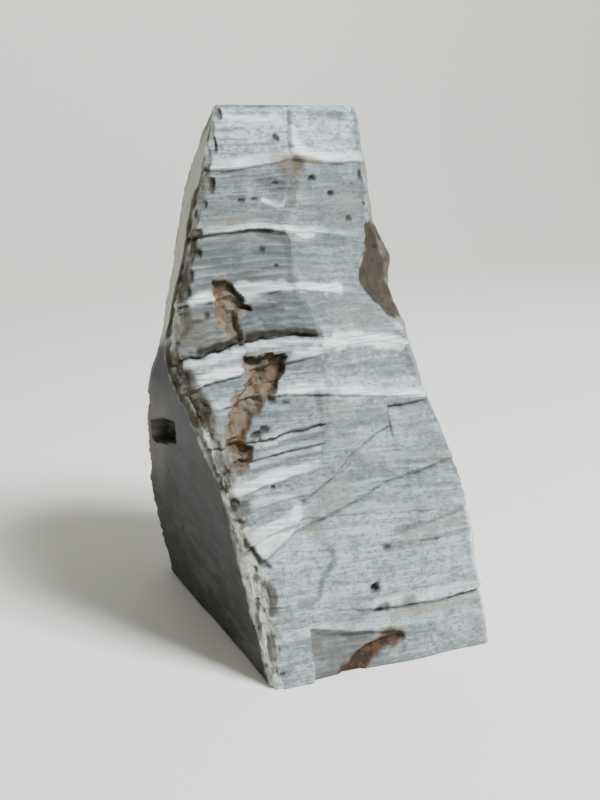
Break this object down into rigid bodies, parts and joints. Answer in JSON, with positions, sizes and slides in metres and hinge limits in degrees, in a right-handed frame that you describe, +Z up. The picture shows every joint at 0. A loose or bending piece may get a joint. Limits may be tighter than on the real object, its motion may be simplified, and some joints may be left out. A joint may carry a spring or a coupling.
{
  "type": "raw soapstone block",
  "caption": "Upright block of raw pale grey soapstone with a sawn base and top, stepped split front, weathered dark left side and brown iron-stained hollows.",
  "frame": {"origin": "on the sawn base, under the middle of the block", "axes": "+Z up, along the block's longest side; +X to the right along the front base edge; -Y to the stepped front"},
  "size_m": [0.0991, 0.1145, 0.179],
  "materials": {
    "soapstone": "matt pale blue-grey split soapstone, darker and brown on its weathered skin"
  },
  "bodies": {
    "root": {"soapstone": "soapstone"}
  },
  "joints": []
}
